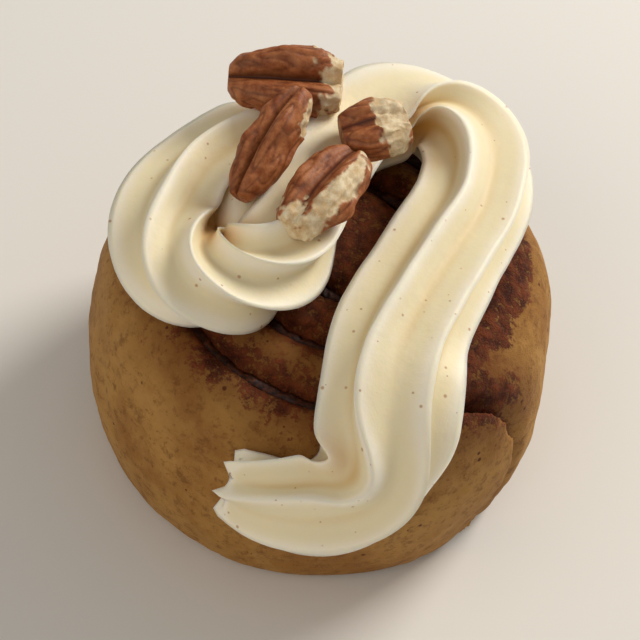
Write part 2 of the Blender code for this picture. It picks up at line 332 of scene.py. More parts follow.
print("the skin over the middle is at", skin_height(0.0, 0.0), "mm")

# %% [markdown]
# ## The swirl
#
# The roll is one long strip, spread with cinnamon and sugar and wound up. Seen from above, the layer
# between two turns is a spiral that moves out by one turn's thickness each time round. Its last stretch
# bends outwards and ends in the seam on the side.

# %% The spiral between the turns
TURN_PITCH = 9.5
SWIRL_FRONT_RADIUS = 27.9
SWIRL_OFFSET = 1.5
SWIRL_OFFSET_ANGLE = 20.0
SWIRL_START = -598.0
SWIRL_TURNOFF = 300.0
SWIRL_EXIT = 345.0
TURNOFF_SPREAD = 7.0
TURNOFF_SPAN = 38.0


def swirl_radius(turn):
    """Distance of the swirl from the middle at an angle (degrees) that runs on over the turns."""
    radius = SWIRL_FRONT_RADIUS + TURN_PITCH * (turn - 270) / 360
    radius = radius + SWIRL_OFFSET * np.cos(np.radians(turn - SWIRL_OFFSET_ANGLE))
    past = np.maximum(turn - SWIRL_TURNOFF, 0) / TURNOFF_SPAN
    return radius + TURNOFF_SPREAD * past ** 2


def distance_from_swirl(radius, angle):
    """Distance from each place to the nearest stretch of the swirl, in the plane of the table."""
    nearest = np.full(len(radius), WIDEST_RADIUS)
    for whole_turns in range(-2, 2):
        turn = np.degrees(angle) + 360 * whole_turns
        inside = (turn > SWIRL_START) & (turn < SWIRL_EXIT)
        gap = np.abs(radius - swirl_radius(turn))
        nearest = np.where(inside, np.minimum(nearest, gap), nearest)
    return nearest


print("the swirl ends", round(float(swirl_radius(SWIRL_EXIT)), 1), "mm from the middle")

# %% [markdown]
# ## The baked dough
#
# The solid already has the round form and the slot between the turns, but its faces are flat. Real dough
# swells in the oven: its edges are round and its surface is softly lumpy. So the solid is copied, given a
# new skin, relaxed until the facets are gone, and then pushed in and out by noise in three sizes: broad
# swells, small lumps and the fine roughness of a crust. Where cinnamon sugar has boiled out along the swirl
# the surface is grainy, so a mask of those places drives both the grain and the colour.

# %% Sizes of the dough's skin
DOUGH_VOXEL = 0.6
DOUGH_RELAXING = 20
SWELLS = ((14.0, 0.6), (5.0, 0.26), (2.0, 0.12))   # size and height
GRAIN_SIZE = 0.9
GRAIN_HEIGHT = 0.16
STANDING_HEIGHT = 3.0

# %% Where the cinnamon sugar shows
SUGAR_HEIGHTS = (27, 33)   # each pair: where it starts to change and where the change is over
SUGAR_BESIDE_SWIRL = (0.8, 6.4)
SUGAR_IN_MIDDLE = (15, 20)
MIDDLE_STRENGTH = 0.9
CRESCENT_DIRECTION = math.radians(-12)
CRESCENT_SPREAD = (0.55, 0.9)
CRESCENT_INNER_EDGE = (20.5, 23)
CRESCENT_OUTER_EDGE = (28, 30)
DEPTH_IN_SLOT = (0.8, 2.5)
# Darker crust near the swirl and high up: partly melted sugar in the crust, partly painted shade under the
# frosting
SYRUP_AND_SHADE_BESIDE_SWIRL = (1, 11)
SYRUP_AND_SHADE_HEIGHTS = (20, 34)


def cinnamon_places(points):
    """How much cinnamon sugar shows at each point of the dough, and how much its crust is darkened there,
    partly by melted sugar seeping in and partly as painted shade.
    """
    angle = np.arctan2(points[:, 1], points[:, 0])
    radius = np.hypot(points[:, 0], points[:, 1])
    near = distance_from_swirl(radius, angle)
    clear = height_off_skin(points)[0]
    # Noise makes every edge ragged: how far it strays, the size of its lumps and its seed
    on_top = smooth_step(points[:, 2], *SUGAR_HEIGHTS)
    beside = 1 - smooth_step(near + 2.4 * wobble(points, 3.2, 3), *SUGAR_BESIDE_SWIRL)
    middle = smooth_step(radius + 2.0 * wobble(points, 4, 5), *SUGAR_IN_MIDDLE)
    middle = MIDDLE_STRENGTH - MIDDLE_STRENGTH * middle
    right_side = smooth_step(np.cos(angle - CRESCENT_DIRECTION), *CRESCENT_SPREAD)
    crescent = 1 - smooth_step(radius + 1.2 * wobble(points, 4, 4), *CRESCENT_OUTER_EDGE)
    crescent = smooth_step(radius, *CRESCENT_INNER_EDGE) * crescent
    inside = smooth_step(-clear, *DEPTH_IN_SLOT)
    grains = np.maximum.reduce([beside, middle, crescent * right_side]) * on_top
    # Painted shade mixed with melted sugar: darker near the swirl, in the middle, high up under the frosting
    # and down in the slot
    syrup_and_shade = 1 - smooth_step(near + 3.0 * wobble(points, 6, 6), *SYRUP_AND_SHADE_BESIDE_SWIRL)
    syrup_and_shade = np.maximum(syrup_and_shade, middle)
    syrup_and_shade *= smooth_step(points[:, 2] + 4 * wobble(points, 9, 8), *SYRUP_AND_SHADE_HEIGHTS)
    return np.maximum(grains, inside), np.maximum(syrup_and_shade, inside)


# %% Shape the dough


def make_dough():
    """A softer, livelier copy of the dough's solid."""
    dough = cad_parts["dough"].copy()
    dough.data = dough.data.copy()
    dough.name = "baked_dough"
    bpy.context.scene.collection.objects.link(dough)
    dough.data.materials.clear()
    remesh(dough, DOUGH_VOXEL)
    mesh = dough.data
    points = relaxed(mesh, points_of(mesh), DOUGH_RELAXING)
    move_points(mesh, points)
    cinnamon, syrup_and_shade = cinnamon_places(points)
    raised = sum(height * wobble(points, size, seed) for seed, (size, height) in enumerate(SWELLS))
    raised += GRAIN_HEIGHT * cinnamon * wobble(points, GRAIN_SIZE, 7)
    raised *= smooth_step(points[:, 2], 0, STANDING_HEIGHT)
    points += normals_of(mesh) * raised[:, None]
    points[:, 2] = np.maximum(points[:, 2], 0)
    move_points(mesh, points)
    write_mask(mesh, "cinnamon", cinnamon)
    write_mask(mesh, "syrup_and_shade", syrup_and_shade)
    return dough


dough = make_dough()
print("dough:", len(dough.data.polygons), "faces")

# %% [markdown]
# ## The cinnamon filling
#
# Between the turns stands the layer of butter, sugar and cinnamon. It melts in the oven, so its top edge
# sags and bubbles, and it sticks to the dough on both sides. It is a ribbon that follows the spiral, a
# little wider than the slot so that no gap shows, with a wavy top.

# %% Shape the filling
FILLING_START = SWIRL_START + 6.0
FILLING_END = 312.0
FILLING_STEP = 2.0
FILLING_HALF_WIDTH = 1.0
FILLING_BELOW_SKIN = 2.5
FILLING_ABOVE_TABLE = 0.4
FILLING_SIDE_POINTS = 14
FILLING_SAG = ((14, 3, 0.8), (5, 8, 0.5))   # degrees that a sag spans, seed, depth
FILLING_CROWN = ((0.8, 0.3), (0.3, 0.5), (-0.3, 0.5), (-0.8, 0.3))   # share of the half width, height
BUBBLE_HEIGHTS = (20, 30)
BUBBLE_SIZE = 1.5
BUBBLE_HEIGHT = 0.45
BUBBLE_SWELL = 0.15


def make_filling():
    """The ribbon of filling along the swirl."""
    rings = []
    for turn in np.arange(FILLING_START, FILLING_END, FILLING_STEP):
        angle = math.radians(turn)
        radius = float(swirl_radius(turn))
        skin = float(skin_height(radius, angle))
        top = skin - FILLING_BELOW_SKIN
        top += sum(depth * noise.noise(Vector((turn / span, seed, 0))) for span, seed, depth in FILLING_SAG)
        heights = np.linspace(FILLING_ABOVE_TABLE, top, FILLING_SIDE_POINTS)
        crown = [(offset, top + rise) for offset, rise in FILLING_CROWN]
        section = [(1, height) for height in heights] + crown + [(-1, height) for height in heights[::-1]]
        offset, height = np.array(section).T
        reach = radius + FILLING_HALF_WIDTH * offset
        rings.append(np.stack([reach * math.cos(angle), reach * math.sin(angle), height], 1))
    filling = make_piece("melted_cinnamon_filling", *loft(rings))
    mesh = filling.data
    points = points_of(mesh)
    bubbles = BUBBLE_HEIGHT * wobble(points, BUBBLE_SIZE, 5) + BUBBLE_SWELL
    bubbles *= smooth_step(points[:, 2], *BUBBLE_HEIGHTS)
    points += normals_of(mesh) * bubbles[:, None]
    move_points(mesh, points)
    mesh.shade_smooth()
    return filling


filling = make_filling()
print("filling:", len(filling.data.polygons), "faces")

# %% [markdown]
# ## The rope of frosting
#
# Frosting pushed through a star nozzle comes out as a rope with six flutes: thin crests with broad hollow
# valleys between them. The nozzle draws an S over the roll and runs down its front. Because it doesn't
# turn with the bends, the crests slide across the rope there. So the rope is swept: a route of a few places
# on the skin, each with a width, a height and the angle of the leading crest, with a smooth curve through
# them. Inside a tight bend the section is squeezed, as the real one is. A rounded lump fills the gap where
# two strands have run together, and a union joins everything into one piece.

# %% The rope's route
ROPE_ROUTE = (   # place, x, y on the skin, half width, height above middle, crest angle, squeeze of the next
    ("start", -10.4, 15.6, 7.6, 6.9, 204, 0),
    ("left top", -16.2, 10.2, 8.0, 6.6, 198, 0),
    ("left arm", -21.0, 3.2, 8.6, 6.5, 194, 0),
    ("bend left", -23.2, -5.8, 9.3, 6.8, 202, 0),
    ("bend bottom", -16.6, -14.4, 9.3, 7.0, 124, 0),
    ("bend right", -8.4, -10.6, 8.4, 7.0, 50, 0),
    ("diagonal low", -5.6, -1.0, 7.6, 7.2, 20, 0),
    ("diagonal high", -3.4, 10.0, 7.6, 7.4, 8, -24),
    ("arch left", 0.4, 19.0, 8.2, 7.4, 20, -42),
    ("arch top", 6.2, 23.2, 9.0, 7.4, 38, -46),
    ("arch back", 11.0, 23.0, 9.2, 7.4, 50, -22),
    ("arch corner", 15.6, 19.8, 9.5, 7.2, 64, 6),
    ("arch right", 18.8, 12.6, 9.4, 7.0, 74, 4),
    ("ribbon high", 18.0, 4.6, 9.5, 7.0, 82, 0),
    ("ribbon middle", 13.2, -9.0, 9.8, 6.8, 78, 0),
    ("ribbon low", 10.7, -19.0, 10.3, 6.6, 70, 0),
    ("shoulder", 10.2, -28.6, 10.8, 6.2, 58, 0),
    ("turn", 9.6, -33.6, 11.0, 6.0, 82, -12),
    ("wall", 7.0, -37.4, 10.8, 5.8, 66, 0),
    ("tail", 0.6, -40.2, 10.0, 5.6, 52, 4),
    ("tip", -9.6, -39.2, 6.2, 4.2, 80, 0),
)
ROPE_STEP = 0.5
FLUTES = 6
POINTS_PER_FLUTE = 16
FLUTE_DEPTH = 0.4
FLUTE_SHARPNESS = 0.8
MIDDLE_LIFT = 0.8
BEND_LIMIT = 0.96
START_ROUNDING = 7.0
TIP_RAGGEDNESS = 1.6
FOLD_STARTS = 0.22
FOLD_FULL = 0.7
ROPE_TILT_START = 20.0
ROPE_TILT_END = 44.0
ROPE_CLEARANCE = 0.1
START_BLUNTNESS = 0.97
BEND_EASING = 6


def spline(knots, values, places):
    """A natural cubic spline through the values at the knots, read at the places."""
    gaps = np.diff(knots)
    slopes = np.diff(values, axis=0) / gaps[:, None]
    system = np.eye(len(knots))
    bends = np.zeros_like(values)
    for i in range(1, len(knots) - 1):
        system[i, i - 1:i + 2] = gaps[i - 1], 2 * (gaps[i - 1] + gaps[i]), gaps[i]
        bends[i] = 6 * (slopes[i] - slopes[i - 1])
    bends = np.linalg.solve(system, bends)
    span = np.clip(np.searchsorted(knots, places) - 1, 0, len(gaps) - 1)
    gap = gaps[span][:, None]
    ahead = (knots[span + 1] - places)[:, None]
    behind = (places - knots[span])[:, None]
    bent = (bends[span] * ahead ** 3 + bends[span + 1] * behind ** 3) / (6 * gap)
    straight = (values[span] / gap - bends[span] * gap / 6) * ahead
    return bent + straight + (values[span + 1] / gap - bends[span + 1] * gap / 6) * behind


def rope_places():
    """Middle, forward and outward directions, sizes, crest angles and bend at each step of the rope."""
    rows = np.array([row[1:] for row in ROPE_ROUTE], dtype=float)
    knots = np.concatenate([[0], np.cumsum(np.hypot(*np.diff(rows[:, :2], axis=0).T))])
    along = np.linspace(0, knots[-1], round(knots[-1] / ROPE_STEP) + 1)
    x, y, half_width, rise, crest, squeeze = spline(knots, rows, along).T
    distance = np.hypot(x, y)
    angle = np.arctan2(y, x)
    share = np.clip((distance - ROPE_TILT_START) / (ROPE_TILT_END - ROPE_TILT_START), 0, 1)
    tilt = share * share * (3 - 2 * share) * math.pi / 2
    outward = np.stack([np.sin(tilt) * np.cos(angle), np.sin(tilt) * np.sin(angle), np.cos(tilt)], 1)
    radius = np.interp(distance, SKIN_LENGTH, SKIN[:, 0]) * outline(angle)
    height = np.interp(distance, SKIN_LENGTH, SKIN[:, 1])
    middle = np.stack([radius * np.cos(angle), radius * np.sin(angle), height], 1)
    middle += outward * (rise * MIDDLE_LIFT)[:, None]
    forward = np.gradient(middle, axis=0)
    forward /= np.linalg.norm(forward, axis=1)[:, None]
    heading = np.unwrap(np.arctan2(np.gradient(y), np.gradient(x)))
    bend = -np.gradient(heading) / np.gradient(along)
    return along, middle, forward, outward, half_width, rise, np.radians(crest), np.radians(squeeze), bend


# %% Sweep the rope
JOIN_MIDDLE = (-14.0, -0.5, 43.6)
JOIN_RADII = (4.2, 8.5, 4.6)
JOIN_ROWS = 20
JOIN_SIDES = 40


def rope_rings():
    """The rope's section at each step, and how much each of its points lies in the fold of a bend."""
    along, middle, forward, outward, half_width, rise, crest, squeeze, bend = rope_places()
    step = 2 * math.pi / (FLUTES * POINTS_PER_FLUTE)
    around = np.arange(FLUTES * POINTS_PER_FLUTE) * step
    second = np.maximum(1 - np.abs(around * FLUTES / (2 * math.pi) - 1), 0)
    flute = np.abs(np.sin(around * FLUTES / 2)) ** FLUTE_SHARPNESS
    rings = []
    folds = []
    for i in range(len(along)):
        inset = max(1 - along[i] / START_ROUNDING, 0)
        size = (1 - FLUTE_DEPTH * flute) * math.sqrt(1 - START_BLUNTNESS * inset ** 2)
        angle = around + crest[i] + squeeze[i] * second
        across = half_width[i] * size * np.cos(angle)
        tight = np.maximum(across * bend[i], 0) / BEND_LIMIT
        # How deep each point lies in the fold of a tight bend, which later sets the painted glow
        folds.append(flute * smooth_step(tight, FOLD_STARTS, FOLD_FULL))
        across = across / (1 + tight ** BEND_EASING) ** (1 / BEND_EASING)
        up = rise[i] * size * np.sin(angle)
        right = np.cross(forward[i], outward[i])
        right /= np.linalg.norm(right)
        upward = np.cross(right, forward[i])
        points = middle[i] + across[:, None] * right + up[:, None] * upward
        if i == len(along) - 1:
            points += forward[i] * (TIP_RAGGEDNESS * (1 - 2 * flute))[:, None]
        rings.append(lift_off_skin(points, ROPE_CLEARANCE))
    return rings, folds


def join_rings():
    """Rings up a rounded lump between the two strands."""
    around = np.linspace(0, 2 * math.pi, JOIN_SIDES, endpoint=False)
    rings = []
    for tilt in np.linspace(-0.49, 0.49, JOIN_ROWS) * math.pi:
        x = JOIN_MIDDLE[0] + JOIN_RADII[0] * math.cos(tilt) * np.cos(around)
        y = JOIN_MIDDLE[1] + JOIN_RADII[1] * math.cos(tilt) * np.sin(around)
        z = np.full_like(x, JOIN_MIDDLE[2] + JOIN_RADII[2] * math.sin(tilt))
        rings.append(lift_off_skin(np.stack([x, y, z], 1), ROPE_CLEARANCE))
    return rings


# %% Melt the strands together
FROSTING_RELAXING = 1
HOLLOW_SPREAD = 26
HOLLOW_DEPTH = 0.55
# The painted glow spreads over this many rounds of relaxing and shows only this high on the roll
PAINTED_GLOW_SPREAD = 8
PAINTED_GLOW_HEIGHTS = (34.0, TOP_HEIGHT + 3)
FROSTING_SWELLS = ((11.0, 0.16), (3.0, 0.05), (0.9, 0.018))   # size and height
FROSTING_SEED = 20


def make_frosting():
    """The rope in one piece, with a mask of the hollows between its crests for painted shade and highlight,
    and a mask of its folds for a painted glow.
    """
    rings, folds = rope_rings()
    frosting = make_piece("piped_frosting", *loft(rings))
    melt_together(frosting, make_piece("join", *loft(join_rings())))
    mesh = frosting.data
    points = relaxed(mesh, points_of(mesh), FROSTING_RELAXING)
    move_points(mesh, points)
    normals = normals_of(mesh)
    hollow = ((relaxed(mesh, points, HOLLOW_SPREAD) - points) * normals).sum(axis=1)
    # Painted glow: the folds of tight bends over the top of the roll get a golden colour, as of light
    # shining through
    painted_fold_glow = nearest_values(np.concatenate(rings), np.concatenate(folds), points)
    painted_fold_glow *= smooth_step(points[:, 2], *PAINTED_GLOW_HEIGHTS)
    raised = sum(height * wobble(points, size, seed)
                 for seed, (size, height) in enumerate(FROSTING_SWELLS, FROSTING_SEED))
    move_points(mesh, points + normals * raised[:, None])
    # The hollow mask sets painted shade in the valleys and a painted highlight on the crests
    write_mask(mesh, "hollow", 0.5 + hollow / (2 * HOLLOW_DEPTH))
    write_mask(mesh, "painted_fold_glow", relaxed(mesh, painted_fold_glow[:, None], PAINTED_GLOW_SPREAD)[:, 0])
    return frosting


frosting = make_frosting()
print("frosting:", len(frosting.data.polygons), "faces")

# %% [markdown]
# ## The pecans
#
# A shelled pecan half is two long lobes with a deep groove between them, wrapped in a thin brown skin
# that is wrinkled lengthwise. The pieces here are broken, so some faces show the pale flesh. Each is lofted
# from rings along its length, the wrinkles are added as noise that is stretched along the nut, and a mask
# tells where the skin is gone.

# %% Sizes and places of the pecans
PECANS = {   # length, width, thickness, groove, near and far break, near and far end, roll (degrees)
    "pecan_1": (18.5, 11.8, 8.0, 0.7, 0.02, 0.87, (-18.8, 16.7, 52.4), (-2.2, 18.1, 53.4), 24),
    "pecan_2": (18.6, 7.5, 7.4, 0.6, 0.03, 0.97, (-9.2, 10.1, 56.8), (-14.2, -2.9, 51.2), 24),
    "pecan_3": (12.0, 9.5, 8.0, 0.2, 0.14, 0.88, (-2.0, 8.7, 52.4), (7.0, 12.2, 54.0), 10),
    "pecan_4": (17.5, 10.0, 8.0, 0.3, 0.08, 0.94, (0.8, 5.1, 53.0), (-6.6, -9.9, 51.6), 14),
}
PECAN_BARE = {   # where flesh shows: middle and reach along, across and up the piece, from -1 to 1
    "pecan_1": (((1.0, 0.0, 0.0), (0.56, 3.0, 3.0)), ((-0.9, -0.8, -0.3), (0.2, 0.3, 0.5))),
    "pecan_2": (((-0.55, 0.95, -0.2), (0.3, 0.4, 0.5)),),
    "pecan_3": (((0.5, 0.0, 0.4), (0.5, 1.6, 1.2)),),
    "pecan_4": (((0.9, 0.0, 0.0), (0.42, 1.4, 1.4)), ((0.1, 0.72, 0.6), (1.2, 0.3, 0.7))),
}
PECAN_RINGS = 110
PECAN_SIDES = 120
PECAN_BLUNTNESS = 0.4
PECAN_FLAT = 0.36
PECAN_END_SLOPE = 0.6
LUMP_SIZE = 3.6
LUMP_HEIGHT = 0.55
WRINKLE_WIDTH = 1.2
WRINKLE_LENGTH = 5.0
WRINKLE_HEIGHT = 0.6
WRINKLE_SHADE = 0.6
WRINKLE_SPREAD = 0.35
GROOVE_SHADE = 0.16
LUMP_SEED = 30
BARE_EDGE = (0.92, 1.08)
BARE_ROUGHNESS = 0.35
BARE_GRAIN = 1.3
BARE_SEED = 50


def pecan_rings(length, width, thickness, groove, near_break, far_break, seed):
    """Rings along a pecan half that lies along X: two lobes with a groove between them, broken ends."""
    around = np.linspace(0, 2 * math.pi, PECAN_SIDES, endpoint=False)
    side, up = np.cos(around), np.sin(around)
    off = np.abs(side)
    lobes = np.sqrt(np.maximum(1 - (2 * off - 1) ** 2, 0))
    lobes = np.where(off < 0.5, np.maximum(lobes, 1 - groove), lobes)
    section = np.where(up > 0, lobes, up)
    rings = []
    shares = []
    wrinkles = []
    for share in np.linspace(0.004, 0.996, PECAN_RINGS):
        place = min(max(share, near_break), far_break)
        bulge = math.sin(math.pi * share) ** PECAN_BLUNTNESS
        across = width / 2 * bulge * side
        rise = np.maximum(thickness / 2 * bulge * section, -PECAN_FLAT * thickness)
        reach = (place - 0.5) * length + (2 * share - 1) * PECAN_END_SLOPE
        ring = np.stack([np.full_like(side, reach), across, rise], 1)
        lump = wobble(ring, LUMP_SIZE, LUMP_SEED + seed)
        fold = np.abs(wobble(ring / (WRINKLE_LENGTH, WRINKLE_WIDTH, WRINKLE_WIDTH), 1.0, seed))
        inwards = WRINKLE_HEIGHT * (0.5 - fold) - LUMP_HEIGHT * lump
        ring[:, 1:] *= (1 - inwards * bulge / (thickness / 2))[:, None]
        rings.append(ring)
        shares.append(np.stack([np.full_like(side, 2 * share - 1), side, section], 1))
        # Painted shade: a mask that is high in the wrinkles and in the groove between the lobes
        groove_shade = (up > 0) * (1 - off / GROOVE_SHADE)
        wrinkles.append(np.maximum(WRINKLE_SHADE - fold / WRINKLE_SPREAD, groove_shade))
    return rings, shares, wrinkles


def place_pecan(rings, near, far, roll):
    """Turn and move the rings so that they run from the near to the far end."""
    near, far = np.array(near), np.array(far)
    forward = (far - near) / np.linalg.norm(far - near)
    left = np.cross([0, 0, 1], forward)
    left /= np.linalg.norm(left)
    upward = np.cross(forward, left)
    turn = math.radians(roll)
    turned_left = left * math.cos(turn) + upward * math.sin(turn)
    turned_up = upward * math.cos(turn) - left * math.sin(turn)
    axes = np.stack([forward, turned_left, turned_up])
    return [ring @ axes + (near + far) / 2 for ring in rings]


def make_pecan(name, seed):
    """One wrinkled piece of pecan with a mask of its bare flesh and a mask of painted shade in its wrinkles
    and groove.
    """
    *sizes, near, far, roll = PECANS[name]
    rings, shares, wrinkles = pecan_rings(*sizes, seed)
    pecan = make_piece("wrinkled_" + name, *loft(place_pecan(rings, near, far, roll)))
    mesh = pecan.data
    mesh.shade_smooth()
    points = points_of(mesh)
    shares = np.concatenate([*shares, [(-1, 0, 0), (1, 0, 0)]])
    ragged = 0.5 * wobble(points, 2.2, 40 + seed) + 0.3 * wobble(points, 0.8, 44 + seed)
    bare = np.zeros(len(points))
    for middle, reach in PECAN_BARE[name]:
        away = np.linalg.norm((shares - middle) / reach, axis=1) + ragged
        bare = np.maximum(bare, 1 - smooth_step(away, *BARE_EDGE))
    crumbs = BARE_ROUGHNESS * bare * (wobble(points, BARE_GRAIN, BARE_SEED + seed) - 0.5)
    points += normals_of(mesh) * crumbs[:, None]
    move_points(mesh, points)
    write_mask(mesh, "bare", bare)
    write_mask(mesh, "painted_wrinkle_shade", np.concatenate([*wrinkles, [0, 0]]))
    return pecan


pecans = {name: make_pecan(name, seed) for seed, name in enumerate(PECANS)}
print("pecans:", {name: len(pecan.data.polygons) for name, pecan in pecans.items()})

# %% [markdown]
# ## Baked dough: material
#
# Bread crust is browned starch: matte to satin, from pale tan on the soft sides to golden brown on top,
# never one even colour. Broad noise mixes two tans, fine noise adds the pores, and small dark dots are
# grains of cinnamon. Two masks come from the shaping step. One darkens the crust, partly for sugar seeped
# into it and partly as painted shade under the frosting and in the slot. The other, broken up by grainy
# noise, turns to the dark red-brown of cinnamon sugar, which is glossier where the sugar has melted.

# %% Material of the dough


def make_dough_material():
    """Oven-baked bread dough with cinnamon sugar along its swirl."""
    material, tree, shader, place = start_material("oven_baked_dough")
    cinnamon = add_node(tree, "ShaderNodeAttribute", {"attribute_name": "cinnamon"}, {}).outputs["Fac"]
    patches = add_node(tree, "ShaderNodeTexNoise", {}, {
        "Vector": place, "Scale": per_metre(12), "Detail": 7.0, "Roughness": 0.66}).outputs[0]
    patches = add_node(tree, "ShaderNodeMapRange", SOFT_EDGE, {
        "Value": patches, "From Min": 0.35, "From Max": 0.68}).outputs[0]
    crust = add_node(tree, "ShaderNodeMix", COLOUR_MIX, {
        FACTOR: patches, FIRST: colour("#bb8c4a"), SECOND: colour("#9c6a30")}).outputs[RESULT]
    pores = add_node(tree, "ShaderNodeTexNoise", {}, {
        "Vector": place, "Scale": per_metre(1.8), "Detail": 6.0, "Roughness": 0.75}).outputs[0]
    pores_dark = add_node(tree, "ShaderNodeMapRange", SOFT_EDGE, {
        "Value": pores, "From Min": 0.48, "From Max": 0.66, "To Max": 0.6}).outputs[0]
    crust = add_node(tree, "ShaderNodeMix", COLOUR_MIX, {
        FACTOR: pores_dark, FIRST: crust, SECOND: colour("#71431a")}).outputs[RESULT]
    # Painted shade and melted sugar: the crust turns dark brown where this mask is high, near the swirl,
    # under the frosting and in the slot
    syrup_and_shade = add_node(tree, "ShaderNodeAttribute", {"attribute_name": "syrup_and_shade"}, {}).outputs["Fac"]
    syrup_and_shade_strength = add_node(tree, "ShaderNodeMath", {"operation": "MULTIPLY"}, {0: syrup_and_shade, 1: 0.75}).outputs[0]
    crust = add_node(tree, "ShaderNodeMix", COLOUR_MIX, {
        FACTOR: syrup_and_shade_strength, FIRST: crust, SECOND: colour("#69360f")}).outputs[RESULT]
    cells = add_node(tree, "ShaderNodeTexVoronoi", {}, {
        "Vector": place, "Scale": per_metre(3.0), "Randomness": 1.0})
    dots = add_node(tree, "ShaderNodeMath", {"operation": "DIVIDE"}, {
        0: cells.outputs["Distance"], 1: cells.outputs["Color"]}).outputs[0]
    dots = add_node(tree, "ShaderNodeMapRange", SOFT_EDGE, {
        "Value": dots, "From Min": 0.2, "From Max": 0.09}).outputs[0]
    crust = add_node(tree, "ShaderNodeMix", COLOUR_MIX, {
        FACTOR: dots, FIRST: crust, SECOND: colour("#5a2c14")}).outputs[RESULT]
    grains = add_node(tree, "ShaderNodeTexNoise", {}, {
        "Vector": place, "Scale": per_metre(0.9), "Detail": 4.0, "Roughness": 0.75}).outputs[0]
    edge = add_node(tree, "ShaderNodeMath", {"operation": "MULTIPLY_ADD"}, {
        0: grains, 1: 3.4, 2: cinnamon}).outputs[0]
    sugared = add_node(tree, "ShaderNodeMapRange", SOFT_EDGE, {
        "Value": edge, "From Min": 2.1, "From Max": 2.6}).outputs[0]
    clumps = add_node(tree, "ShaderNodeMapRange", SOFT_EDGE, {
        "Value": pores, "From Min": 0.38, "From Max": 0.66}).outputs[0]
    sugar = add_node(tree, "ShaderNodeMix", COLOUR_MIX, {
        FACTOR: clumps, FIRST: colour("#3d0f04"), SECOND: colour("#8a4420")}).outputs[RESULT]
    tint = add_node(tree, "ShaderNodeMix", COLOUR_MIX, {
        FACTOR: sugared, FIRST: crust, SECOND: sugar}).outputs[RESULT]
    tree.links.new(tint, shader.inputs["Base Color"])
    rough = add_node(tree, "ShaderNodeMapRange", {}, {
        "Value": sugared, "To Min": 0.66, "To Max": 0.56}).outputs[0]
    tree.links.new(rough, shader.inputs["Roughness"])
    bump = add_node(tree, "ShaderNodeBump", {}, {
        "Strength": 0.9, "Distance": 0.7 * MM, "Height": pores}).outputs[0]
    bump = add_node(tree, "ShaderNodeBump", {}, {
        "Strength": sugared, "Distance": 0.35 * MM, "Height": grains, "Normal": bump}).outputs[0]
    tree.links.new(bump, shader.inputs["Normal"])
    shader.inputs["IOR"].default_value = 1.45
    shader.inputs["Specular IOR Level"].default_value = 0.22
    shader.inputs["Subsurface Weight"].default_value = 0.12
    shader.inputs["Subsurface Radius"].default_value = (1.0, 0.5, 0.2)
    shader.inputs["Subsurface Scale"].default_value = 2 * MM
    return material


dough.data.materials.append(make_dough_material())

# %% [markdown]
# ## Melted cinnamon sugar: material
#
# The filling is sugar syrup full of ground cinnamon: nearly black where it is thick, red-brown where it is
# thin, and glossy. Ground spice is finer than the render shows, so its grain is drawn coarser, at 0.7 mm.

# %% Material of the filling


def make_filling_material():
    """Melted brown sugar with ground cinnamon."""
    material, tree, shader, place = start_material("melted_cinnamon_sugar")
    grains = add_node(tree, "ShaderNodeTexNoise", {}, {
        "Vector": place, "Scale": per_metre(0.7), "Detail": 4.0, "Roughness": 0.7}).outputs[0]
    spread = add_node(tree, "ShaderNodeMapRange", SOFT_EDGE, {
        "Value": grains, "From Min": 0.4, "From Max": 0.7}).outputs[0]
    tint = add_node(tree, "ShaderNodeMix", COLOUR_MIX, {
        FACTOR: spread, FIRST: colour("#230a03"), SECOND: colour("#5a2810")}).outputs[RESULT]
    tree.links.new(tint, shader.inputs["Base Color"])
    bump = add_node(tree, "ShaderNodeBump", {}, {
        "Strength": 0.7, "Distance": 0.3 * MM, "Height": grains}).outputs[0]
    tree.links.new(bump, shader.inputs["Normal"])
    shader.inputs["Roughness"].default_value = 0.42
    shader.inputs["IOR"].default_value = 1.48
    shader.inputs["Specular IOR Level"].default_value = 0.35
    return material


filling.data.materials.append(make_filling_material())

# %% [markdown]
# ## Cream cheese frosting: material
#
# Frosting is fat, sugar and air. Light enters it, scatters about a millimetre and comes out warmer, so deep
# folds glow yellow while the crests stay ivory. Subsurface scattering gives that, and two masks add painted
# light to it: the mask of the hollows paints shade into the valleys and a highlight onto the crests, and the
# mask of the folds inside the bends paints them with a golden glow. Fine specks of vanilla and cinnamon are
# scattered a few millimetres apart. The surface was cut by the nozzle, so it is smooth, with a soft sheen
# and faint drag marks.

# %% Material of the frosting


